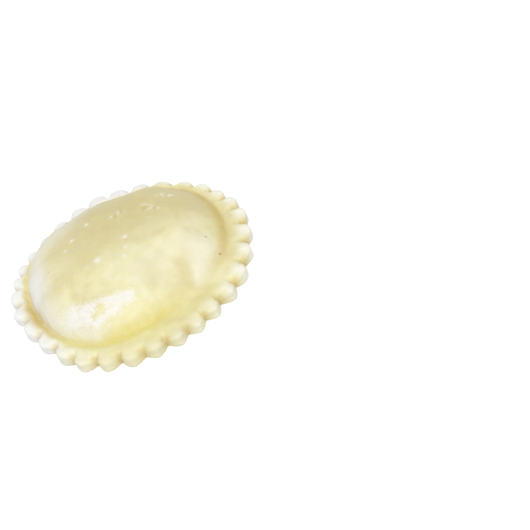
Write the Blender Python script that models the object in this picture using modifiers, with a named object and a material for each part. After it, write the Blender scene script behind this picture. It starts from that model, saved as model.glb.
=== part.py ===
"""A round raviolo: two sheets of egg dough pressed together round a filling, with a fluted edge.

The parcel is one closed piece. A plain round blank is turned from its half section, then pressed
to its uneven outline: the fluted rim, the off-centre dome and the dome's uneven sides.
Units are metres, +Z up. The origin is the centre of the flat underside.
"""

import bpy
from math import atan2, cos, hypot, pi, radians, sin
from mathutils import Matrix, Vector

# Driving dimensions
RIM_RADIUS = 0.0300        # centre to the tip of a flute
RIM_THICKNESS = 0.0032     # two sheets of dough pressed together
FLUTES = 31
FLUTE_DEPTH = 0.0018       # tip of a flute to the notch beside it
FLUTE_VALLEY = 0.0009      # how far the top of the rim sinks at a notch
FLUTE_POINTEDNESS = 0.9    # 1 is a row of half circles, lower narrows the notches
FOOT_RADIUS = 0.0244       # where the dome meets the rim
CREASE_DEPTH = 0.0007      # the groove at the dome's foot, below the rim's top
DOME_HEIGHT = 0.0086       # crease to crown
DOME_FULLNESS = 2.6        # 2 is a round crown, higher is flatter on top
SIDE_STEEPNESS = 0.62      # 0.5 is an upright side, 1 a slanting one
SIDE_CHANGE = 0.15         # how much that varies round the dome
GENTLEST_SIDE = radians(-50)
CROWN_OFFSET = (-0.0005, 0.0015)
EDGE_ROUNDING = 0.0012     # radius of the rim's upper edge
UNDER_CHAMFER = 0.0005     # bevel of its lower edge

# Hand-made unevenness, as (waves round the edge, size, direction of the first crest)
RIM_WAVES = (
    (3, 0.00030, radians(37)),
    (4, 0.00030, radians(-88)),
    (5, 0.00035, radians(90)),
)
FOOT_WAVES = (
    (1, 0.00157, radians(107)),
    (2, 0.00080, radians(33)),
    (3, 0.00030, radians(49)),
    (4, 0.00070, radians(-156)),
)
FLUTE_SHIFTS = (
    (1, radians(2.1), radians(16)),
    (2, radians(1.5), radians(139)),
    (3, radians(2.2), radians(-13)),
    (5, radians(0.8), radians(-32)),
)

# Mesh fineness
STEPS_PER_FLUTE = 6
DOME_RINGS = 8
EDGE_ARC_POINTS = 4
WELD_DISTANCE = 0.00001

FIRST_TIP = 2 * pi / FLUTES * 4 / STEPS_PER_FLUTE
CREASE_HEIGHT = RIM_THICKNESS - CREASE_DEPTH

DOUGH_COLOUR = (0.84, 0.76, 0.50, 1.0)
DOUGH_ROUGHNESS = 0.55


def waves(terms, angle):
    """The sum of a few cosine waves round the edge."""
    return sum(size * cos(count * angle - crest) for count, size, crest in terms)


def notch(turn):
    """0 on the tip of a flute, rising to 1 in the notch beside it."""
    return 1 - abs(cos((turn - FIRST_TIP) * FLUTES / 2)) ** FLUTE_POINTEDNESS


def dome_height(share, angle):
    """Height over the crease, at a share of the way from the crown to the foot."""
    steepness = SIDE_STEEPNESS + SIDE_CHANGE * cos(angle - GENTLEST_SIDE)
    return DOME_HEIGHT * (1 - share ** DOME_FULLNESS) ** steepness


def half_section():
    """The blank's half section as (radius, height), from the crown down its outer side."""
    points = []
    for ring in range(DOME_RINGS):
        share = sin(pi / 2 * ring / DOME_RINGS)
        points.append((FOOT_RADIUS * share, CREASE_HEIGHT + dome_height(share, 0)))
    points.append((FOOT_RADIUS, CREASE_HEIGHT))
    points.append((FOOT_RADIUS + 2 * CREASE_DEPTH, RIM_THICKNESS))
    for step in range(EDGE_ARC_POINTS):
        turn = pi / 2 * step / (EDGE_ARC_POINTS - 1)
        points.append((
            RIM_RADIUS - EDGE_ROUNDING * (1 - sin(turn)),
            RIM_THICKNESS - EDGE_ROUNDING * (1 - cos(turn)),
        ))
    points.append((RIM_RADIUS, UNDER_CHAMFER))
    points.append((RIM_RADIUS - UNDER_CHAMFER, 0))
    points.append((FOOT_RADIUS, 0))
    points.append((0, 0))
    return points


def turned_blank(name, section):
    """A round solid: the half section spun about Z, with a whole number of steps to each flute."""
    outline = bpy.data.meshes.new(name + "_section")
    outline.from_pydata(
        [(radius, 0, height) for radius, height in section],
        [(i, i + 1) for i in range(len(section) - 1)],
        [],
    )
    blank = bpy.data.objects.new(name, outline)
    collection.objects.link(blank)
    screw = blank.modifiers.new("turn", "SCREW")
    screw.steps = FLUTES * STEPS_PER_FLUTE
    screw.render_steps = screw.steps
    screw.use_merge_vertices = True
    screw.merge_threshold = WELD_DISTANCE
    evaluated = blank.evaluated_get(bpy.context.evaluated_depsgraph_get())
    blank.data = bpy.data.meshes.new_from_object(evaluated)
    blank.modifiers.clear()
    bpy.data.meshes.remove(outline)
    return blank


def pressed(radius, turn, height):
    """Where a point of the round blank lies once the parcel is pressed and cut."""
    angle = turn + waves(FLUTE_SHIFTS, turn)
    on_top = height > RIM_THICKNESS / 2
    foot = FOOT_RADIUS + waves(FOOT_WAVES, angle)
    if radius > FOOT_RADIUS + WELD_DISTANCE:
        outward = (radius - FOOT_RADIUS) / (RIM_RADIUS - FOOT_RADIUS)
        edge = RIM_RADIUS + waves(RIM_WAVES, angle)
        cut = outward ** 2 * notch(turn)
        reach = foot + outward * (edge - foot) - cut * FLUTE_DEPTH
        sink = cut * FLUTE_VALLEY if on_top else 0
        return reach * cos(angle), reach * sin(angle), height - sink
    share = min(radius / FOOT_RADIUS, 1)
    x, y = foot * share * cos(angle), foot * share * sin(angle)
    if not on_top:
        return x, y, height
    near_crown = 1 - share ** 2
    return (
        x + CROWN_OFFSET[0] * near_crown,
        y + CROWN_OFFSET[1] * near_crown,
        CREASE_HEIGHT + dome_height(share, angle),
    )


def press(blank):
    """Moves every vertex of the turned blank to its place on the finished parcel."""
    for vertex in blank.data.vertices:
        x, y, z = vertex.co
        vertex.co = pressed(hypot(x, y), atan2(y, x), z)


def centre_on_origin(parcel):
    """Slides the mesh so that the origin is the middle of its box, on the underside."""
    xs = [vertex.co.x for vertex in parcel.data.vertices]
    ys = [vertex.co.y for vertex in parcel.data.vertices]
    middle = Vector(((min(xs) + max(xs)) / 2, (min(ys) + max(ys)) / 2, 0))
    parcel.data.transform(Matrix.Translation(-middle))


def dough():
    """Pale egg dough with a faint satin."""
    material = bpy.data.materials.new("egg_dough")
    material.use_nodes = True
    shader = material.node_tree.nodes["Principled BSDF"]
    shader.inputs["Base Color"].default_value = DOUGH_COLOUR
    shader.inputs["Roughness"].default_value = DOUGH_ROUGHNESS
    shader.inputs["Metallic"].default_value = 0.0
    return material


for old in list(bpy.data.objects):
    bpy.data.objects.remove(old)

collection = bpy.data.collections.new("ravioli")
bpy.context.scene.collection.children.link(collection)

raviolo = turned_blank("raviolo", half_section())
press(raviolo)
centre_on_origin(raviolo)
raviolo.data.materials.append(dough())
raviolo.data.shade_smooth()
raviolo.data.set_sharp_from_angle(angle=radians(40))
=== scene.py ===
"""A round raviolo of fresh egg dough, domed over its filling and cut with a fluted ring."""

from math import cos, pi, radians, sin

import bmesh
import bpy
import numpy as np
from mathutils import Matrix, Vector


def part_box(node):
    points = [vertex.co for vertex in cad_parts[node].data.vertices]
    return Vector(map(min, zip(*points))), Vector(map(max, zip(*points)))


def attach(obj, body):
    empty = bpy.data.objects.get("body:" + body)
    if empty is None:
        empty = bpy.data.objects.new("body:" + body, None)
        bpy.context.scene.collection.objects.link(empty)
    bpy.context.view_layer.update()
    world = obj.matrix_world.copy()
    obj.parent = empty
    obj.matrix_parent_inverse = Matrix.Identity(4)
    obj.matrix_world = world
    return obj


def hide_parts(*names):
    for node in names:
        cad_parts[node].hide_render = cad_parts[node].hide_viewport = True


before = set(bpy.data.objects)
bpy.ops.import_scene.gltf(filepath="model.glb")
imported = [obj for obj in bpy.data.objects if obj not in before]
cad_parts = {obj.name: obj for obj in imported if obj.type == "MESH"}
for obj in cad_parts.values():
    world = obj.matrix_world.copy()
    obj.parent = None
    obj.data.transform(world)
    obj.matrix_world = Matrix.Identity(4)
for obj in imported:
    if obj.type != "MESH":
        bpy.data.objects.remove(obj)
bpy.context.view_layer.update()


# ------------------------------------------------------------------------------------------------
# The parcel. Two round sheets of rolled egg dough, the lower one flat on the board and the upper
# one laid over a spoonful of soft filling. The edge is pressed flat all round and cut with a
# fluted ring, which leaves a row of plump lobes with a pinched notch between each two.
# ------------------------------------------------------------------------------------------------

MM = 0.001

RIM_RADIUS = 30.0 * MM
RIM_THICKNESS = 3.2 * MM
FLUTES = 31
FLUTE_DEPTH = 1.8 * MM
LOBE_ROUNDNESS = (2.1, 1.50)                # plump at the back, more pointed at the front
FOOT_RADIUS = 24.4 * MM
CREASE_DEPTH = 0.7 * MM
OPEN_CREASE_DEPTH = 0.1 * MM                # at the front, where the dome runs out into the rim
DOME_HEIGHT = 8.6 * MM
DOME_FULLNESS = 2.6
SIDE_STEEPNESS = 0.62
SIDE_CHANGE = 0.15
GENTLEST_SIDE = radians(-50)
CROWN_OFFSET = (-0.5 * MM, 1.5 * MM)

# Hand-made unevenness, as (waves round the edge, size, direction of the first crest)
RIM_WAVES = (
    (3, 0.30 * MM, radians(37)),
    (4, 0.30 * MM, radians(-88)),
    (5, 0.35 * MM, radians(90)),
)
FOOT_WAVES = (
    (1, 1.57 * MM, radians(107)),
    (2, 0.80 * MM, radians(33)),
    (3, 0.30 * MM, radians(49)),
    (4, 0.70 * MM, radians(-156)),
)
FLUTE_SHIFTS = (
    (1, radians(2.1), radians(16)),
    (2, radians(1.5), radians(139)),
    (3, radians(2.2), radians(-13)),
    (5, radians(0.8), radians(-32)),
)
LOBE_REACH_WAVES = (
    (8, 0.12 * MM, radians(20)),
    (13, 0.10 * MM, radians(75)),
)
CUT_WAVES = (
    (6, 0.10, radians(25)),
    (11, 0.15, radians(110)),
)
ROUNDNESS_WAVES = (
    (5, 0.15, radians(60)),
    (9, 0.20, radians(-35)),
    (14, 0.15, radians(150)),
)
LOBE_HEIGHT_WAVES = (
    (5, 0.10 * MM, radians(140)),
    (7, 0.10 * MM, radians(10)),
    (12, 0.08 * MM, radians(60)),
)

# The dough's soft edges
RIGHT_EASE = 0.12                           # how much gentler the side is at the right end
RIGHT_END = radians(20)
CREASE_SOFTNESS = (0.22 * MM, 1.50 * MM)    # at the tight left end, at the soft right end
SOFTEST_CREASE = radians(-30)
OPEN_CREASE = radians(-85)
SHALLOW_FLUTES = radians(55)                # the notches are least deep at the back
FLUTE_DEPTH_CHANGE = 0.38
DEEPER_FRONT = 0.20                         # and deepest at the front
VALLEY_DEPTH = 1.25 * MM
VALLEY_START = 0.50                         # share of the rim's width, from the dome outwards
VALLEY_CHANGE = 0.20                        # the valleys are longest at the two ends
LONGEST_VALLEY = radians(3)
VALLEY_NARROWNESS = 2.1
LOBE_PUFF = 0.08 * MM
EDGE_SLOPE = 0.15 * MM                      # the pressed rim thins towards its cut edge
EDGE_ROUNDING = (0.85 * MM, 1.2 * MM)       # inwards and downwards, at the cut edge
CRISPER_FRONT = 0.40                        # how much less of that rounding the front has
LOWER_ROUNDING = 0.45 * MM
SHEET_SEAM = 0.05 * MM                      # the faint groove where the two sheets meet

# Mesh fineness
STEPS_PER_FLUTE = 16
TURN_STEPS = FLUTES * STEPS_PER_FLUTE
DOME_STEPS = 84
RIM_STEPS = 24
UPPER_STEPS = 9
WALL_STEPS = 8
LOWER_STEPS = 4
UNDER_STEPS = 10

FIRST_TIP = 2 * pi / FLUTES * 4 / 6


def waves(terms, angle):
    """The sum of a few cosine waves round the edge: size * cos(count * angle - crest)."""
    return sum(size * np.cos(count * angle - crest) for count, size, crest in terms)


def smooth_step(low, high, value):
    """0 below low, 1 above high, and between them t * t * (3 - 2 * t) of the share t."""
    share = np.clip((value - low) / (high - low), 0, 1)
    return share * share * (3 - 2 * share)


def soft_top(first, second, softness):
    """The higher of two heights, with their meeting rounded: second + s * log(1 + e^(gap / s))."""
    return second + softness * np.logaddexp(0, (first - second) / softness)


def dome_height(share, angle):
    """H * (1 - share^p)^m over the crease, and the same curve turned downwards past the foot."""
    steepness = SIDE_STEEPNESS + SIDE_CHANGE * np.cos(angle - GENTLEST_SIDE)
    steepness = steepness + RIGHT_EASE * np.clip(np.cos(angle - RIGHT_END), 0, 1) ** 2
    rise = 1 - share ** DOME_FULLNESS
    return DOME_HEIGHT * np.sign(rise) * np.abs(rise) ** steepness


def openness(angle):
    """1 at the open front of the crease, falling to 0 at the tight back as ((1 + cos) / 2)^2."""
    return ((1 + np.cos(angle - OPEN_CREASE)) / 2) ** 2


def rim_top(outward, lobe, angle):
    """The rim's upper face: a dish beside the dome, then lobes that swell and valleys that sink.

    T - crease * (1 - step) + puff * lobe * bell - edge slope * step - valley * (1 - lobe) * fade.
    """
    crease = CREASE_DEPTH + (OPEN_CREASE_DEPTH - CREASE_DEPTH) * openness(angle)
    dish = crease * (1 - smooth_step(0.0, 0.55, outward))
    swell = (LOBE_PUFF + waves(LOBE_HEIGHT_WAVES, angle)) * lobe * smooth_step(0.15, 0.65, outward)
    swell = swell - EDGE_SLOPE * smooth_step(0.5, 1.15, outward)
    start = VALLEY_START - VALLEY_CHANGE * np.cos(2 * (angle - LONGEST_VALLEY))
    fade = np.clip((outward - start) / (1 - start), 0, 1) ** 1.7
    valley = VALLEY_DEPTH * (1 - lobe) ** VALLEY_NARROWNESS * fade
    return RIM_THICKNESS - dish + swell - valley


def parcel_surface():
    """The closed skin as points[station, step] from the crown, over the rim and back underneath.

    Also gives each point's share of the dome's radius (over 1 outside it), how far out on the rim
    it is, how close to a notch it is, and its direction from the middle.
    """
    turn = np.arange(TURN_STEPS) * 2 * pi / TURN_STEPS
    angle = turn + waves(FLUTE_SHIFTS, turn)
    ray = np.stack([np.cos(angle), np.sin(angle)], axis=-1)
    foot = FOOT_RADIUS + waves(FOOT_WAVES, angle)
    across = 2 / pi * np.arcsin(np.abs(np.sin((turn - FIRST_TIP) * FLUTES / 2)))
    plump, pointed = LOBE_ROUNDNESS
    roundness = plump + (pointed - plump) * openness(angle) + waves(ROUNDNESS_WAVES, angle)
    roundness = np.maximum(roundness, pointed)
    lobe = 1 - across ** roundness
    edge = RIM_RADIUS + waves(RIM_WAVES, angle) + waves(LOBE_REACH_WAVES, angle)
    at_back = ((1 + np.cos(angle - SHALLOW_FLUTES)) / 2) ** 3
    unevenness = waves(CUT_WAVES, angle) + DEEPER_FRONT * openness(angle)
    cut = FLUTE_DEPTH * (1 - FLUTE_DEPTH_CHANGE * at_back + unevenness) * (1 - lobe)
    outline = (edge - cut)[:, None] * ray

    along = np.roll(outline, -1, axis=0) - np.roll(outline, 1, axis=0)
    along /= np.linalg.norm(along, axis=1)[:, None]
    outwards = np.stack([along[:, 1], -along[:, 0]], axis=-1)
    inwards = -(ray + outwards) / np.linalg.norm(ray + outwards, axis=1)[:, None]
    crispness = (1 - CRISPER_FRONT * openness(angle))[:, None]
    rounding = EDGE_ROUNDING[0] * crispness
    drop = EDGE_ROUNDING[1] * crispness[:, 0]
    inset = outline + rounding * inwards
    foot_line = foot[:, None] * ray
    tight, loose = CREASE_SOFTNESS
    softness = tight + (loose - tight) * ((1 + np.cos(angle - SOFTEST_CREASE)) / 2) ** 1.2
    crease_height = RIM_THICKNESS - CREASE_DEPTH
    beside_dome = rim_top(0, lobe, angle)

    rows = []
    facts = []

    def add(flat, height, share, outward):
        rows.append(np.concatenate([flat, height[:, None]], axis=1))
        facts.append(np.stack([share, outward, 1 - lobe, angle], axis=-1))

    # The dome, from the crown to its foot, in ever smaller steps
    for step in range(1, DOME_STEPS + 1):
        even = step / DOME_STEPS
        share = 0.5 * even + 0.5 * sin(pi / 2 * even)
        height = soft_top(crease_height + dome_height(share, angle), beside_dome, softness)
        near_crown = 1 - share ** 2
        flat = share * foot_line + near_crown * np.array(CROWN_OFFSET)
        add(flat, height, share + 0 * angle, 0 * angle)

    # The rim's upper face
    for step in range(1, RIM_STEPS + 1):
        even = step / RIM_STEPS
        outward = 0.45 * even + 0.55 * even ** 2
        flat = foot_line + outward * (inset - foot_line)
        reach = np.linalg.norm(flat, axis=1) / foot
        under = crease_height + dome_height(reach, angle)
        height = soft_top(under, rim_top(outward, lobe, angle), softness)
        add(flat, height, reach, outward + 0 * angle)

    # The lobes' rounded upper edge, the cut wall and its lower edge
    top = rows[-1][:, 2]
    for step in range(1, UPPER_STEPS + 1):
        tilt = pi / 2 * step / UPPER_STEPS
        flat = outline + rounding * (1 - sin(tilt)) * inwards
        height = top - drop * (1 - cos(tilt))
        add(flat, height, 1.2 + 0 * angle, 1 + 0.2 * step / UPPER_STEPS + 0 * angle)
    wall_top = rows[-1][:, 2]
    for step in range(1, WALL_STEPS + 1):
        share = step / WALL_STEPS
        groove = SHEET_SEAM * np.exp(-((share - 0.5) / 0.2) ** 2) * lobe
        height = wall_top + share * (LOWER_ROUNDING - wall_top)
        flat = outline - groove[:, None] * outwards
        add(flat, height, 1.25 + 0 * angle, 1.2 + 0.4 * share + 0 * angle)
    for step in range(1, LOWER_STEPS + 1):
        tilt = pi / 2 * step / LOWER_STEPS
        flat = outline - LOWER_ROUNDING * (1 - cos(tilt)) * outwards
        height = LOWER_ROUNDING * (1 - sin(tilt)) + 0 * angle
        add(flat, height, 1.3 + 0 * angle, 1.7 + 0 * angle)

    # The underside, flat on the board
    last = rows[-1][:, :2]
    for step in range(1, UNDER_STEPS):
        share = 1 - step / UNDER_STEPS
        blend = smooth_step(1.0, 0.6, np.array(share))
        flat = share * ((1 - blend) * last + blend * FOOT_RADIUS * ray * 1.15)
        add(flat, 0 * angle, 1.4 + 0 * angle, 1.8 + 0 * angle)

    return np.array(rows), np.array(facts)


def surface_normals(points):
    """The cross product of the steps round and down the skin, each of length 1."""
    around = np.roll(points, -1, axis=1) - np.roll(points, 1, axis=1)
    down = np.gradient(points, axis=0)
    normals = np.cross(down, around)
    return normals / np.maximum(np.linalg.norm(normals, axis=2), 1e-12)[:, :, None]


def lumps(places, wavelength, count, seed):
    """Soft random swells: the mean of plane waves of about one wavelength in all directions."""
    draw = np.random.default_rng(seed)
    way = draw.normal(size=(count, 3))
    way /= np.linalg.norm(way, axis=1)[:, None]
    number = 2 * pi / (wavelength * draw.uniform(0.7, 1.4, count))
    phase = draw.uniform(0, 2 * pi, count)
    total = sum(np.cos(places @ (way[i] * number[i]) + phase[i]) for i in range(count))
    return total * np.sqrt(2 / count)


def spot(places, centre, size):
    """A round bell, e^-(d / size)^2, of the distance d from a centre seen from above."""
    gap = np.linalg.norm(places[..., :2] - np.array(centre) * MM, axis=-1)
    return np.exp(-(gap / (size * MM)) ** 2)


def streak(places, start, end, width, last_width=None):
    """A bell across a line from start to end, seen from above, that also fades past its ends.

    e^-(d / w)^2, where w runs evenly from the first width to the last one.
    """
    start = np.array(start) * MM
    line = np.array(end) * MM - start
    offset = places[..., :2] - start
    share = np.clip(offset @ line / (line @ line), 0, 1)
    gap = np.linalg.norm(offset - share[..., None] * line, axis=-1)
    spread = width + share * ((last_width or width) - width)
    return np.exp(-(gap / (spread * MM)) ** 2)


def ring(places, centre, radius, width, start):
    """A bell across a wavering circle, e^-((d - r) / width)^2, that fades on one side."""
    offset = places[..., :2] - np.array(centre) * MM
    way = np.arctan2(offset[..., 1], offset[..., 0])
    wavering = radius * MM * (1 + 0.14 * np.cos(3 * way + start) + 0.08 * np.cos(5 * way - start))
    gap = np.linalg.norm(offset, axis=-1) - wavering
    return np.exp(-(gap / (width * MM)) ** 2) * (0.55 + 0.45 * np.cos(way - start))


# The unevenness of the skin: swells and ripples over the dome, fine grain, and the rim's own lumps
DOME_SWELL, DOME_SWELL_LENGTH = 0.18 * MM, 13 * MM
DOME_RIPPLE, DOME_RIPPLE_LENGTH = 0.050 * MM, 5.5 * MM
SKIN_GRAIN, SKIN_GRAIN_LENGTH = 0.020 * MM, 2.4 * MM
RIM_LUMP, RIM_LUMP_LENGTH = 0.07 * MM, 3.2 * MM

# Marks that the filling and small air bubbles leave in the upper sheet, as places from above in mm
FOLD_SINK, FOLD_WIDTH = 0.85 * MM, 1.5
RIDGE_RISE, RIDGE_WIDTHS = 0.55 * MM, (3.2, 1.2)
RING_RISE, RING_WIDTH = 0.22 * MM, 0.36
DOT_RISE = 0.16 * MM
SCRATCH_RISE, SCRATCH_WIDTH = 0.12 * MM, 0.35
PRESSED_FOLD = ((11.0, -12.3), (10.8, -18.4))
FOLD_RIDGE = ((16.2, -9.8), (12.3, -18.6))
RING_BLISTERS = (
    ((9.0, 9.0), 1.25, 0.4),
    ((1.6, 9.5), 0.95, 2.2),
    ((3.6, 10.9), 0.70, 4.0),
    ((11.0, 7.2), 0.80, 1.2),
)
SCRATCHES = (
    ((13.6, 12.0), (15.8, 11.0)),
    ((12.6, 13.3), (14.6, 12.8)),
    ((15.4, 12.4), (17.0, 11.0)),
)
SAG_PLACE, SAG_WIDTH, SAG = (9.5, 12.0), 9.0, 0.50 * MM
DOT_BLISTERS = (
    ((-6.5, -2.8), 0.65),
    ((1.6, 0.8), 0.45),
    ((0.8, -2.8), 0.40),
    ((-0.5, -5.6), 0.50),
    ((-5.3, 11.5), 0.45),
    ((-10.1, 8.9), 0.45),
    ((-12.5, 6.5), 0.35),
)


def parcel_relief(points, normals, share, outward):
    """The skin moved along its normals by lumps, the pressed fold, blisters and tiny pits."""
    on_dome = smooth_step(1.0, 0.86, share)
    on_top = smooth_step(1.6, 1.0, outward)
    relief = DOME_SWELL * on_dome * lumps(points, DOME_SWELL_LENGTH, 14, 3)
    relief += DOME_RIPPLE * on_dome * lumps(points, DOME_RIPPLE_LENGTH, 30, 8)
    relief += SKIN_GRAIN * on_top * lumps(points, SKIN_GRAIN_LENGTH, 60, 21)
    relief += RIM_LUMP * on_top * (1 - on_dome) * lumps(points, RIM_LUMP_LENGTH, 24, 5)
    relief -= SAG * spot(points, SAG_PLACE, SAG_WIDTH) * on_dome
    relief -= FOLD_SINK * streak(points, *PRESSED_FOLD, FOLD_WIDTH) * on_dome
    relief += RIDGE_RISE * streak(points, *FOLD_RIDGE, *RIDGE_WIDTHS) * on_dome
    for centre, radius, start in RING_BLISTERS:
        relief += RING_RISE * ring(points, centre, radius, RING_WIDTH, start) * on_dome
    for centre, radius in DOT_BLISTERS:
        relief += DOT_RISE * spot(points, centre, radius) * on_dome
    for start, end in SCRATCHES:
        relief += SCRATCH_RISE * streak(points, start, end, SCRATCH_WIDTH) * on_dome
    return points + relief[..., None] * normals


def closed_mesh(name, points, facts):
    """A mesh of the skin: quads between the stations, and a fan at the crown and below."""
    stations, steps = points.shape[:2]
    crown = points[0].mean(axis=0)
    middle = points[-1].mean(axis=0)
    vertices = np.concatenate([points.reshape(-1, 3), [crown, middle]])
    index = np.arange(stations * steps).reshape(stations, steps)
    following = np.roll(index, -1, axis=1)
    quads = np.stack([index[:-1], index[1:], following[1:], following[:-1]], axis=-1)
    top_fan = np.stack([index[0], following[0], np.full(steps, stations * steps)], axis=-1)
    low_fan = np.stack([following[-1], index[-1], np.full(steps, stations * steps + 1)], axis=-1)
    mesh = bpy.data.meshes.new(name)
    sides = quads.reshape(-1, 4).tolist() + top_fan.tolist() + low_fan.tolist()
    mesh.from_pydata(vertices, [], sides)
    mesh.update()
    mesh.shade_smooth()
    return mesh


points, facts = parcel_surface()
skin_normals = surface_normals(points)
share, outward, pinch, angle = np.moveaxis(facts, -1, 0)
points = parcel_relief(points, skin_normals, share, outward)
low, high = points.reshape(-1, 3).min(axis=0), points.reshape(-1, 3).max(axis=0)
box_low, box_high = (np.array(corner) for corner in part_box("raviolo"))
slide = (box_low + box_high) / 2 - (low + high) / 2
points[..., :2] += slide[:2]

parcel_mesh = closed_mesh("raviolo_dough", points, facts)
parcel = bpy.data.objects.new("raviolo_dough", parcel_mesh)
bpy.context.scene.collection.objects.link(parcel)
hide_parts("raviolo")
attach(parcel, "root")


# ------------------------------------------------------------------------------------------------
# The dough's finish. Egg dough is a pale, warm cream with a soft uneven satin, dusted with white
# flour.
# Light and shade are painted into its colour too: painted shade as gold in the crease (partly the
# pressed dough's own deeper colour) and in the notches, and as a deeper tone over the far half of
# the dome and in the fold; painted light as a paler tone on the lobes, their cut walls and a
# highlight streak and ridge on the dome, and as part of the white film on the left and along the
# far edge.
# ------------------------------------------------------------------------------------------------

def as_linear(red, green, blue):
    """A colour given in 0 to 255 screen values, as the linear values that a shader takes."""
    screen = np.array([red, green, blue]) / 255
    linear = np.where(screen <= 0.04045, screen / 12.92, ((screen + 0.055) / 1.055) ** 2.4)
    return (*linear.tolist(), 1.0)


DOUGH = as_linear(241, 234, 180)
DOUGH_PALE = as_linear(248, 243, 205)
# Palest dough: the lobes, partly their own colour, and painted light on their cut walls and as the
# dome's highlight streak
DOUGH_PALEST_AND_LIT = as_linear(254, 252, 237)
# Deeper dough: random clouds, and painted shade over the far half of the dome and in the fold
DOUGH_DEEP_AND_SHADE = as_linear(219, 205, 147)
DOUGH_YELLOW = as_linear(229, 216, 118)
# Gold: painted shade in the crease and the notches, partly the pressed dough's deeper colour; also
# the bran's second colour
DOUGH_GOLD = as_linear(212, 188, 106)
FLOUR_WHITE = as_linear(252, 250, 243)
# White film: flour, and painted light along the far edge of the dome and on the left rim
FILM_WHITE = as_linear(251, 251, 250)
SPECK_BROWN = as_linear(120, 92, 52)

# Strokes of flour, as (start, end, width in mm, strength): rubbed in, and as a thin film
FLOUR_STROKES = (
    ((-16.2, -13.0), (-13.8, -14.4), 2.9, 1.0),
    ((-13.4, -13.2), (-6.7, -15.2), 1.55, 1.0),
    ((-6.7, -15.3), (-3.4, -15.9), 1.7, 1.0),
    ((-7.0, -17.0), (-13.0, -17.2), 1.5, 0.8),
    ((-19.0, -13.5), (-11.0, -19.0), 2.6, 0.42),
)
FLOUR_GAIN = 1.25
BALD_SPOT, BALD_RADIUS = (-10.3, -14.9), 1.0
BALD_TAIL, BALD_TAIL_WIDTH = ((-11.2, -15.2), (-12.6, -15.9)), 0.5
FILM_STROKES = (
    ((-22.8, 0.5), (-21.6, 6.0), 3.4, 0.9),
    ((-21.6, 6.0), (-19.0, 13.0), 2.9, 0.6),
    # Painted sheen: this film stroke is a pale strip along the dome's far edge
    ((-19.0, 13.0), (-4.0, 22.5), 4.0, 0.45),
    ((-23.0, -1.0), (-21.5, -9.5), 2.8, 0.55),
    ((-21.5, -9.5), (-14.0, -18.5), 2.6, 0.5),
)
# The white film over the left and back rim: flour, and painted light that whitens it
WHITE_EDGE_START = (48, 76)               # degrees round the edge where the film grows
WHITE_EDGE_END = (240, 196)               # and where it is gone again


def add_node(tree, kind, settings=None, values=None):
    """A node of a kind, with its settings by name and its input values by name or number."""
    made = tree.nodes.new(kind)
    for key, value in (settings or {}).items():
        setattr(made, key, value)
    for key, value in (values or {}).items():
        made.inputs[key].default_value = value
    return made


def wire(tree, source, target):
    """Joins an output, as (node, name or number), to an input given in the same way."""
    tree.links.new(source[0].outputs[source[1]], target[0].inputs[target[1]])


def point_values(mesh, name, values):
    """Stores one number for each point; the crown and the middle get the mean of their rows."""
    flat = np.concatenate([values.reshape(-1), [values[0].mean(), values[-1].mean()]])
    layer = mesh.attributes.new(name, "FLOAT", "POINT")
    layer.data.foreach_set("value", flat.astype(np.float32))


def toward(direction, width):
    """1 in a direction round the edge, falling to 0 at the stated width from it, in degrees."""
    gap = np.abs((np.degrees(angle) - direction + 180) % 360 - 180)
    return smooth_step(width, 0, gap)


def dome_only(values):
    """The values on the dome, falling to 0 over the crease."""
    return values * smooth_step(1.03, 0.97, share)


def rim_only(values):
    """The values on the rim's upper face and wall, from 0 at the crease."""
    return values * smooth_step(1.02, 1.08, share) * (outward < 1.75)


from_foot = (share - 1) * FOOT_RADIUS / MM
upper = outward < 1.05
# Painted shade: a gold band along the crease, strongest at both ends, partly the pressed dough's
# deeper colour
at_left = toward(187, 60)
gold_and_shade = np.exp(-((from_foot + 0.3 - 1.5 * at_left) / (1.3 + 0.55 * at_left)) ** 2) * upper
gold_and_shade = gold_and_shade * (0.12 + 0.75 * np.maximum(toward(187, 36), toward(5, 68)))
yellow = np.exp(-((from_foot - 0.1) / 2.1) ** 2) * upper * toward(-108, 56) ** 0.7
inner_rim = smooth_step(0, 1.6, from_foot) * smooth_step(1.1, 0.45, outward)
yellow = np.maximum(yellow, inner_rim * np.maximum(0.4 * toward(-90, 60), 0.1 * toward(0, 85)))
point_values(parcel_mesh, "yellow", yellow)
# Painted shade: gold in the notches between the lobes, near the cut edge
notch_shade = pinch ** 3 * smooth_step(0.80, 1.05, outward) * (outward < 1.75)
point_values(parcel_mesh, "pinch", notch_shade)
# The lobes are paler, partly their own colour and partly painted light, which runs down their cut
# walls; less at the front
pale_lobes_and_lit_walls = (1 - pinch) ** 1.5 * smooth_step(0.35, 0.85, outward) * (outward < 1.75)
pale_lobes_and_lit_walls = pale_lobes_and_lit_walls * (1 - 0.70 * toward(-110, 90))
point_values(parcel_mesh, "pale_lobes_and_lit_walls", pale_lobes_and_lit_walls)

# Painted shade: the far half of the dome, which faces away from the lamp, and the pressed fold's
# groove get a deeper tone
far_and_fold_shade = dome_only(smooth_step(-8, 7, (points[..., 1] - 0.12 * points[..., 0]) / MM))
far_and_fold_shade = far_and_fold_shade * (0.4 + 0.6 * smooth_step(-20, -1, points[..., 0] / MM))
far_and_fold_shade = np.maximum(far_and_fold_shade, 0.6 * streak(points, *PRESSED_FOLD, 1.5))
point_values(parcel_mesh, "far_and_fold_shade", far_and_fold_shade)
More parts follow.
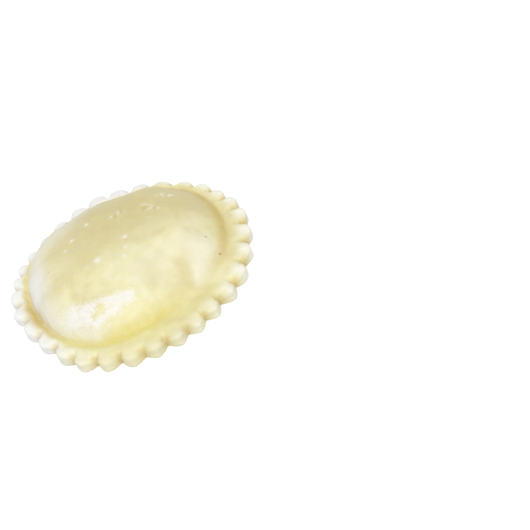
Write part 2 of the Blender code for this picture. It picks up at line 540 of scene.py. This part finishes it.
# Painted highlight: a pale streak over the front right of the dome and along the fold's ridge,
# kept off the fold's groove; the blisters and scratches are paler too
pale_marks_and_highlight = dome_only(0.32 * streak(points, (1.0, -10.5), (16.0, -9.0), 5.5))
pale_marks_and_highlight = pale_marks_and_highlight * (1 - 0.8 * streak(points, *PRESSED_FOLD, 2.2))
pale_marks_and_highlight = np.maximum(pale_marks_and_highlight, 0.65 * dome_only(streak(points, *FOLD_RIDGE, 4.0, 1.5)))
broken = smooth_step(-0.9, 0.6, lumps(points, 1.3 * MM, 30, 12))
for centre, radius, start in RING_BLISTERS:
    pale_marks_and_highlight = np.maximum(pale_marks_and_highlight, broken * ring(points, centre, radius, 0.45, start))
    pale_marks_and_highlight = pale_marks_and_highlight * (1 - spot(points, centre, 0.6 * radius))
    gold_and_shade = np.maximum(gold_and_shade, 0.4 * spot(points, centre, 0.75 * radius))
for centre, radius in DOT_BLISTERS:
    pale_marks_and_highlight = np.maximum(pale_marks_and_highlight, 1.2 * spot(points, centre, 1.2 * radius))
for start, end in SCRATCHES:
    pale_marks_and_highlight = np.maximum(pale_marks_and_highlight, 0.8 * broken * streak(points, start, end, 0.5))
point_values(parcel_mesh, "pale_marks_and_highlight", pale_marks_and_highlight)
point_values(parcel_mesh, "gold_and_shade", gold_and_shade)

# Flour: a rubbed patch on the front left with a bald spot, and a thin film over the left end and
# the rim behind it; the film also stands for painted light along the far edge of the dome and on
# that rim
patch = 0
for start, end, width, strength in FLOUR_STROKES:
    patch = np.maximum(patch, strength * streak(points, start, end, width))
patch = np.clip(FLOUR_GAIN * patch, 0, 1)
bald = spot(points, BALD_SPOT, BALD_RADIUS)
bald = np.maximum(bald, 0.8 * streak(points, *BALD_TAIL, BALD_TAIL_WIDTH))
patch = dome_only(patch * (1 - bald))
point_values(parcel_mesh, "flour", patch)
flour_film_and_light = 0
for start, end, width, strength in FILM_STROKES:
    flour_film_and_light = np.maximum(flour_film_and_light, dome_only(strength * streak(points, start, end, width)))
way_round = np.degrees(angle) % 360
white_edge = smooth_step(*WHITE_EDGE_START, way_round)
white_edge = np.minimum(white_edge, smooth_step(*WHITE_EDGE_END, way_round))
white_edge = rim_only(white_edge) * smooth_step(0.10, 0.65, outward)
flour_film_and_light = np.maximum(flour_film_and_light, white_edge * (1 - 0.9 * gold_and_shade))
point_values(parcel_mesh, "flour_film_and_light", flour_film_and_light)

dough = bpy.data.materials.new("egg_dough")
dough.use_nodes = True
tree = dough.node_tree
shader = tree.nodes["Principled BSDF"]
shader.inputs["Subsurface Weight"].default_value = 0.12
shader.inputs["Subsurface Scale"].default_value = 1.5 * MM
shader.inputs["Subsurface Radius"].default_value = (1.0, 0.85, 0.6)
shader.inputs["Specular IOR Level"].default_value = 0.38
shader.inputs["Sheen Weight"].default_value = 0.12
shader.inputs["Sheen Roughness"].default_value = 0.5

coordinates = add_node(tree, "ShaderNodeTexCoord")


def noise(scale, detail, roughness=0.5, distortion=0.0):
    """Cloudy noise over the dough, with so many blobs a metre."""
    made = add_node(tree, "ShaderNodeTexNoise", values={
        "Scale": scale, "Detail": detail, "Roughness": roughness, "Distortion": distortion,
    })
    wire(tree, (coordinates, "Object"), (made, "Vector"))
    return made


def maths(operation, first, second, clamp=False):
    """A Math node; each side is a number or an (node, output) pair."""
    made = add_node(tree, "ShaderNodeMath", {"operation": operation, "use_clamp": clamp})
    for number, side in enumerate((first, second)):
        if isinstance(side, tuple):
            wire(tree, side, (made, number))
        else:
            made.inputs[number].default_value = side
    return made, 0


def ranged(source, low, high, to_low=0.0, to_high=1.0):
    """Spreads low..high of a value over to_low..to_high, smoothly and clamped."""
    made = add_node(tree, "ShaderNodeMapRange", {"interpolation_type": "SMOOTHSTEP"}, {
        "From Min": low, "From Max": high, "To Min": to_low, "To Max": to_high,
    })
    wire(tree, source, (made, "Value"))
    return made, "Result"


def mixed(factor, first, second):
    """A colour mix of two colours, each a plain colour or a (node, output) pair."""
    made = add_node(tree, "ShaderNodeMix", {"data_type": "RGBA"})
    wire(tree, factor, (made, "Factor"))
    for number, side in ((6, first), (7, second)):
        if isinstance(side[0], bpy.types.Node):
            wire(tree, side, (made, number))
        else:
            made.inputs[number].default_value = side
    return made, 2


def stored(name):
    """A value stored on the mesh."""
    return add_node(tree, "ShaderNodeAttribute", {"attribute_name": name}), "Fac"


broad = noise(110, 3, 0.5, 0.4)
mottle = noise(260, 4, 0.55, 0.6)
cloudy = noise(420, 4, 0.55)
fine = noise(1700, 3, 0.6)
grain = noise(3600, 2, 0.6)

# Colour: cream with paler and deeper clouds; painted shade as gold in the crease and the notches
# and as a deeper tone on the far side; painted light as a paler tone on the lobes and the dome's
# streak
tone = ranged((mottle, "Fac"), 0.34, 0.66)
body = mixed(maths("MULTIPLY", tone, 0.7), DOUGH, DOUGH_PALE)
body = mixed(maths("MULTIPLY", ranged((broad, "Fac"), 0.42, 0.7), 0.55), body, DOUGH_DEEP_AND_SHADE)
# Painted light: the lobes and their cut walls paler
body = mixed(stored("pale_lobes_and_lit_walls"), body, DOUGH_PALEST_AND_LIT)
# Painted shade: a deeper tone over the far half of the dome and in the fold
shade_over_far_side = maths("MULTIPLY", stored("far_and_fold_shade"), ranged((cloudy, "Fac"), 0.2, 0.7, 1.0, 0.75))
body = mixed(shade_over_far_side, body, DOUGH_DEEP_AND_SHADE)
yellowed = maths("MULTIPLY", stored("yellow"), ranged((cloudy, "Fac"), 0.3, 0.7, 0.75, 1.0))
body = mixed(yellowed, body, DOUGH_YELLOW)
# Painted highlight: the pale streak and fold ridge on the dome, with the pale blisters and
# scratches
body = mixed(maths("MULTIPLY", stored("pale_marks_and_highlight"), 0.85), body, DOUGH_PALEST_AND_LIT)
# Painted shade: gold along the crease, partly the pressed dough's deeper colour
body = mixed(stored("gold_and_shade"), body, DOUGH_GOLD)

# Flour: a thin smooth film, partly painted light along the far edge of the dome and on the left
# rim, and a denser rub that breaks into grains at its edges
dusting = maths("MULTIPLY", (cloudy, "Fac"), 0.6)
dusting = maths("ADD", dusting, maths("MULTIPLY", (fine, "Fac"), 0.4))
flour_film_and_light = maths("MULTIPLY", stored("flour_film_and_light"), ranged(dusting, 0.35, 0.62, 0.82, 1.0), True)
body = mixed(flour_film_and_light, body, FILM_WHITE)
# Painted shade: gold in the notches
body = mixed(maths("MULTIPLY", stored("pinch"), 0.9), body, DOUGH_GOLD)
breakup = maths("MULTIPLY", (fine, "Fac"), 0.9)
breakup = maths("ADD", breakup, maths("MULTIPLY", (grain, "Fac"), 0.5))
breakup = maths("SUBTRACT", breakup, 0.70)
clouds = maths("MULTIPLY", maths("SUBTRACT", (cloudy, "Fac"), 0.5), 0.7)
density = maths("ADD", stored("flour"), clouds)
density = maths("ADD", density, maths("MULTIPLY", breakup, 2.0))
flour = ranged(density, 0.25, 1.1)
body = mixed(maths("MULTIPLY", flour, 0.93), body, FLOUR_WHITE)
wire(tree, body, (shader, "Base Color"))

# Gloss: a soft uneven satin, dull under flour
satin = ranged((cloudy, "Fac"), 0.3, 0.7, 0.42, 0.58)
dull = maths("ADD", satin, maths("MULTIPLY", flour, 0.35), True)
wire(tree, dull, (shader, "Roughness"))

height = maths("MULTIPLY", flour, (grain, "Fac"))
height = maths("ADD", height, maths("MULTIPLY", (fine, "Fac"), 0.25))
bump = add_node(tree, "ShaderNodeBump", values={"Strength": 0.35, "Distance": 0.06 * MM})
wire(tree, height, (bump, "Height"))
wire(tree, (bump, "Normal"), (shader, "Normal"))

parcel_mesh.materials.append(dough)


# ------------------------------------------------------------------------------------------------
# Loose flour and bran. The flour that doesn't rub in stays on the dough as tiny clumps, thickest
# round the floured patch, and a few flecks of brown bran show in the sheet.
# ------------------------------------------------------------------------------------------------

GRAIN_SIZES = (0.06 * MM, 0.16 * MM)
GRAIN_COUNT = 320
BRAN_FLECKS = (                             # place from above and size, in mm
    (19.6, -12.2, 0.24),
    (18.7, -7.0, 0.20),
    (-18.1, 3.4, 0.10),
    (2.0, 20.5, 0.13),
    (-9.5, 19.0, 0.17),
    (24.5, 12.5, 0.11),
)


def clumps(name, places, ways, sizes, flatness, seed):
    """One mesh of small uneven stones: each is a 20-sided ball, squashed along the skin's normal.

    corner = place + size * (ball * uneven + (flatness - 1) * (ball . normal) * normal).
    """
    draw = np.random.default_rng(seed)
    form = bmesh.new()
    bmesh.ops.create_icosphere(form, subdivisions=1, radius=1)
    ball = np.array([corner.co[:] for corner in form.verts])
    sides = np.array([[corner.index for corner in side.verts] for side in form.faces])
    form.free()
    count = len(places)
    spun, _ = np.linalg.qr(draw.normal(size=(count, 3, 3)))
    spun[:, :, 0] *= np.sign(np.linalg.det(spun))[:, None]
    corners = np.einsum("nij,kj->nki", spun, ball) * draw.uniform(0.7, 1.3, (count, len(ball), 1))
    depth = np.einsum("nkj,nj->nk", corners, ways)
    corners = corners + (flatness - 1) * depth[..., None] * ways[:, None, :]
    corners = (places + 0.2 * sizes[:, None] * ways)[:, None, :] + sizes[:, None, None] * corners
    faces = sides[None] + len(ball) * np.arange(count)[:, None, None]
    mesh = bpy.data.meshes.new(name)
    mesh.from_pydata(corners.reshape(-1, 3), [], faces.reshape(-1, 3).tolist())
    mesh.shade_smooth()
    made = bpy.data.objects.new(name, mesh)
    bpy.context.scene.collection.objects.link(made)
    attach(made, "root")
    return made


ways = surface_normals(points)
draw = np.random.default_rng(77)
grain_weight = 0.35 * patch * (1.15 - patch) * 4
grain_weight = np.maximum(grain_weight, 0.5 * streak(points, (-21.0, -8.0), (-9.0, -20.5), 2.6))
grain_weight = np.maximum(grain_weight, 0.25 * rim_only(toward(-130, 70)))
grain_weight = np.maximum(grain_weight, 0.006) * (outward < 1.1)
cell = np.linalg.norm(np.cross(np.gradient(points, axis=0), np.gradient(points, axis=1)), axis=-1)
chance = (grain_weight * cell).reshape(-1)
chosen = draw.choice(chance.size, GRAIN_COUNT, replace=False, p=chance / chance.sum())
flour_grains = clumps(
    "flour_grains",
    points.reshape(-1, 3)[chosen],
    ways.reshape(-1, 3)[chosen],
    draw.uniform(*GRAIN_SIZES, GRAIN_COUNT),
    0.7,
    5,
)

flecks = np.array(BRAN_FLECKS)
skin_places = points[outward < 1.05]
gaps = np.linalg.norm(skin_places[:, None, :2] - flecks[None, :, :2] * MM, axis=-1)
nearest = gaps.argmin(axis=0)
bran_flecks = clumps(
    "bran_flecks",
    skin_places[nearest],
    ways[outward < 1.05][nearest],
    flecks[:, 2] * MM,
    0.25,
    9,
)


def plain_finish(name, colour, other, scale, roughness):
    """A matt finish clouded between two colours, with so many blobs a metre."""
    finish = bpy.data.materials.new(name)
    finish.use_nodes = True
    nodes = finish.node_tree
    place = add_node(nodes, "ShaderNodeTexCoord")
    clouds = add_node(nodes, "ShaderNodeTexNoise", values={"Scale": scale, "Detail": 2})
    blend = add_node(nodes, "ShaderNodeMix", {"data_type": "RGBA"}, {6: colour, 7: other})
    wire(nodes, (place, "Object"), (clouds, "Vector"))
    wire(nodes, (clouds, "Fac"), (blend, 0))
    surface = nodes.nodes["Principled BSDF"]
    surface.inputs["Roughness"].default_value = roughness
    surface.inputs["Specular IOR Level"].default_value = 0.2
    wire(nodes, (blend, 2), (surface, "Base Color"))
    return finish


flour_grains.data.materials.append(plain_finish("loose_flour", FLOUR_WHITE, DOUGH_PALE, 900, 0.9))
bran_flecks.data.materials.append(plain_finish("bran", SPECK_BROWN, DOUGH_GOLD, 1500, 0.7))


# ------------------------------------------------------------------------------------------------
# The studio: a plain white table, one broad soft lamp above and in front, and a pale room that
# lights the dough from all round.
# ------------------------------------------------------------------------------------------------

FLOOR_SIZE = 8.0
FLOOR_WHITE = (0.76, 0.76, 0.76, 1)
FLOOR_GLOW = (0.42, 0.61)                   # under the parcel, and far from it
GLOW_REACH = (0.08, 0.70)
ROOM_LIGHT = 0.58
LAMP_PLACE = (-0.03, -0.56, 0.95)
LAMP_AIM = (0, 0, 0)
LAMP_SIZE = 0.7
LAMP_POWER = 5.5



def background_seen():
    """1 for rays that show the background: the camera's, and those off gloss or through glass."""
    rays = add_node(tree, "ShaderNodeLightPath")
    mirrored = maths("MAXIMUM", (rays, "Is Glossy Ray"), (rays, "Is Transmission Ray"))
    return maths("MAXIMUM", (rays, "Is Camera Ray"), mirrored)


floor_mesh = bpy.data.meshes.new("floor")
half = FLOOR_SIZE / 2
floor_mesh.from_pydata(
    [(-half, -half, 0), (half, -half, 0), (half, half, 0), (-half, half, 0)],
    [],
    [(0, 1, 2, 3)],
)
floor = bpy.data.objects.new("floor", floor_mesh)
bpy.context.scene.collection.objects.link(floor)
floor_finish = bpy.data.materials.new("white_table")
floor_finish.use_nodes = True
tree = floor_finish.node_tree
tree.nodes.clear()
paint = add_node(tree, "ShaderNodeBsdfDiffuse", values={"Color": FLOOR_WHITE})
glow = add_node(tree, "ShaderNodeEmission")
ground = add_node(tree, "ShaderNodeTexCoord")
reach = add_node(tree, "ShaderNodeVectorMath", {"operation": "LENGTH"})
growing = add_node(tree, "ShaderNodeMapRange", values={
    "From Min": GLOW_REACH[0], "From Max": GLOW_REACH[1],
    "To Min": FLOOR_GLOW[0], "To Max": FLOOR_GLOW[1],
})
wire(tree, (ground, "Object"), (reach, 0))
wire(tree, (reach, "Value"), (growing, "Value"))
wire(tree, maths("MULTIPLY", background_seen(), (growing, "Result")), (glow, "Strength"))
total = add_node(tree, "ShaderNodeAddShader")
output = add_node(tree, "ShaderNodeOutputMaterial")
wire(tree, (paint, 0), (total, 0))
wire(tree, (glow, 0), (total, 1))
wire(tree, (total, 0), (output, "Surface"))
floor_mesh.materials.append(floor_finish)

room = bpy.data.worlds.new("room")
bpy.context.scene.world = room
room.use_nodes = True
tree = room.node_tree
air = tree.nodes["Background"]
air.inputs["Color"].default_value = (1, 1, 1, 1)
level = add_node(tree, "ShaderNodeMapRange", values={"To Min": ROOM_LIGHT, "To Max": 1.0})
wire(tree, background_seen(), (level, "Value"))
wire(tree, (level, "Result"), (air, "Strength"))

lamp_data = bpy.data.lights.new("soft_lamp", "AREA")
lamp_data.shape = "DISK"
lamp_data.size = LAMP_SIZE
lamp_data.energy = LAMP_POWER
lamp = bpy.data.objects.new("soft_lamp", lamp_data)
lamp.location = LAMP_PLACE
lamp.rotation_euler = (Vector(LAMP_AIM) - Vector(LAMP_PLACE)).to_track_quat("-Z", "Y").to_euler()
bpy.context.scene.collection.objects.link(lamp)


# ------------------------------------------------------------------------------------------------
# The camera: looks down over the front edge, turned a little so that the parcel leans to the left.
# ------------------------------------------------------------------------------------------------

CAMERA_RISE = radians(40)
CAMERA_ROLL = radians(26)
CAMERA_DISTANCE = 0.330
CAMERA_TARGET = Vector((-0.00015, -0.00013, 0.0016))
AIM_RIGHT = 0.0318
AIM_UP = 0.0010
LENS = 93.77

back = Vector((0, -cos(CAMERA_RISE), sin(CAMERA_RISE)))
level_right = Vector((1, 0, 0))
level_up = back.cross(level_right)
right = cos(CAMERA_ROLL) * level_right - sin(CAMERA_ROLL) * level_up
up = sin(CAMERA_ROLL) * level_right + cos(CAMERA_ROLL) * level_up
place = CAMERA_TARGET + CAMERA_DISTANCE * back
aim = CAMERA_TARGET + AIM_RIGHT * right + AIM_UP * up
backwards = (place - aim).normalized()
sideways = up.cross(backwards).normalized()
upwards = backwards.cross(sideways)
camera_data = bpy.data.cameras.new("camera")
camera_data.lens = LENS
camera_data.sensor_width = 36
camera_data.clip_start = 0.01
camera = bpy.data.objects.new("camera", camera_data)
turned = Matrix((sideways, upwards, backwards)).transposed().to_4x4()
camera.matrix_world = Matrix.Translation(place) @ turned
bpy.context.scene.collection.objects.link(camera)
bpy.context.scene.camera = camera

bpy.context.scene.view_settings.view_transform = "Standard"
